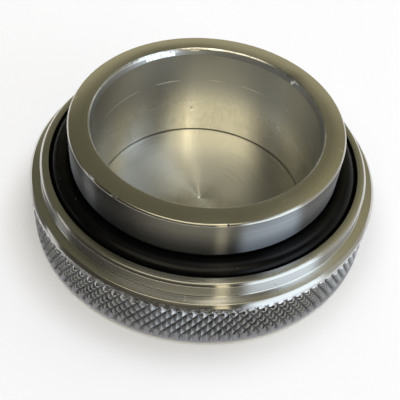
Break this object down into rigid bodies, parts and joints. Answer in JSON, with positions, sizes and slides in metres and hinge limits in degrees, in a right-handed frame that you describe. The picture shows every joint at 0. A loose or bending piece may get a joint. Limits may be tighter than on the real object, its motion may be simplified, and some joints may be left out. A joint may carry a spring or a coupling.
{
  "type": "weld-on filler cap",
  "caption": "Aluminium weld-on filler neck with a plain spigot, a rubber ring seal and a screw cap with a diamond knurl, shown neck up.",
  "frame": {"origin": "centre of the cap's closed outer face, which rests on the ground", "axes": "+Z along the common axis, out of the neck's weld end; the thread is right-hand about Z"},
  "size_m": [0.0786, 0.0786, 0.0278],
  "materials": {
    "cap_aluminium": "turned, bright",
    "neck_aluminium": "turned, satin",
    "ring_rubber": "moulded, smooth"
  },
  "bodies": {
    "cap": {"cap": "cap_aluminium"},
    "seal": {"o_ring": "ring_rubber"},
    "neck": {"weld_neck": "neck_aluminium"}
  },
  "joints": [
    {"name": "neck_lift", "type": "slide", "parent": "cap", "child": "seal", "axis": [0, 0, 1], "range_m": [0, 0.0085]},
    {"name": "neck_turn", "type": "hinge", "parent": "seal", "child": "neck", "pos_m": [0, 0, 0], "axis": [0, 0, 1], "range_deg": [0, 1530]}
  ],
  "couplings": [
    {"joint": "neck_lift", "follows": "neck_turn", "m_per_rad": 0.00031831}
  ]
}
